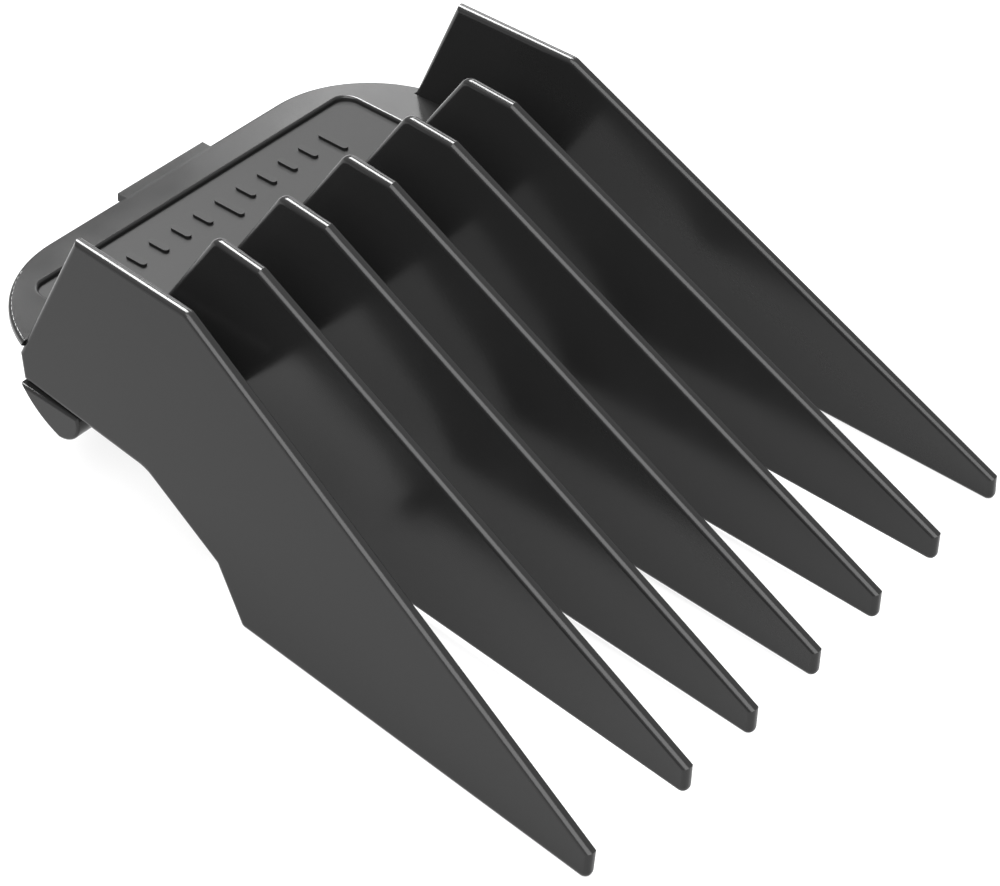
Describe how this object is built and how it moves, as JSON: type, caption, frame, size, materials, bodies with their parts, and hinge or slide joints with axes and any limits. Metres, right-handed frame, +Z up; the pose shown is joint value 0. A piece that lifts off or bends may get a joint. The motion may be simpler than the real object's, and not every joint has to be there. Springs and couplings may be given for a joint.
{
  "type": "clipper guide comb",
  "caption": "Clip-on guide comb for a hair clipper: a heel plate with snap hooks under it, and upright blades with slanted skin edges between two side walls.",
  "frame": {"origin": "on the floor, under the middle of the comb's bounding box", "axes": "+X across the comb, +Y towards the tips of the teeth, +Z up, to the skin side"},
  "size_m": [0.0542, 0.0645, 0.0218],
  "materials": {
    "moulded_plastic": "black moulded plastic, fine satin grain"
  },
  "bodies": {
    "comb": {"heel_deck": "moulded_plastic", "heel_rim": "moulded_plastic", "thumb_tab": "moulded_plastic", "length_ticks": "moulded_plastic", "side_wall_left": "moulded_plastic", "side_wall_right": "moulded_plastic", "blade_stop_left": "moulded_plastic", "blade_stop_right": "moulded_plastic", "comb_tooth_1": "moulded_plastic", "comb_tooth_2": "moulded_plastic", "comb_tooth_3": "moulded_plastic", "comb_tooth_4": "moulded_plastic", "comb_tooth_5": "moulded_plastic"},
    "hook_left": {"snap_hook_left": "moulded_plastic"},
    "hook_right": {"snap_hook_right": "moulded_plastic"}
  },
  "joints": [
    {"name": "hook_left_flex", "type": "hinge", "parent": "comb", "child": "hook_left", "pos_m": [-0.019, -0.0237, 0.00899], "axis": [-1, 0, 0], "range_deg": [0, 6], "stiffness_Nm_per_rad": 0.15},
    {"name": "hook_right_flex", "type": "hinge", "parent": "comb", "child": "hook_right", "pos_m": [0.019, -0.0237, 0.00899], "axis": [-1, 0, 0], "range_deg": [0, 6], "stiffness_Nm_per_rad": 0.15}
  ]
}
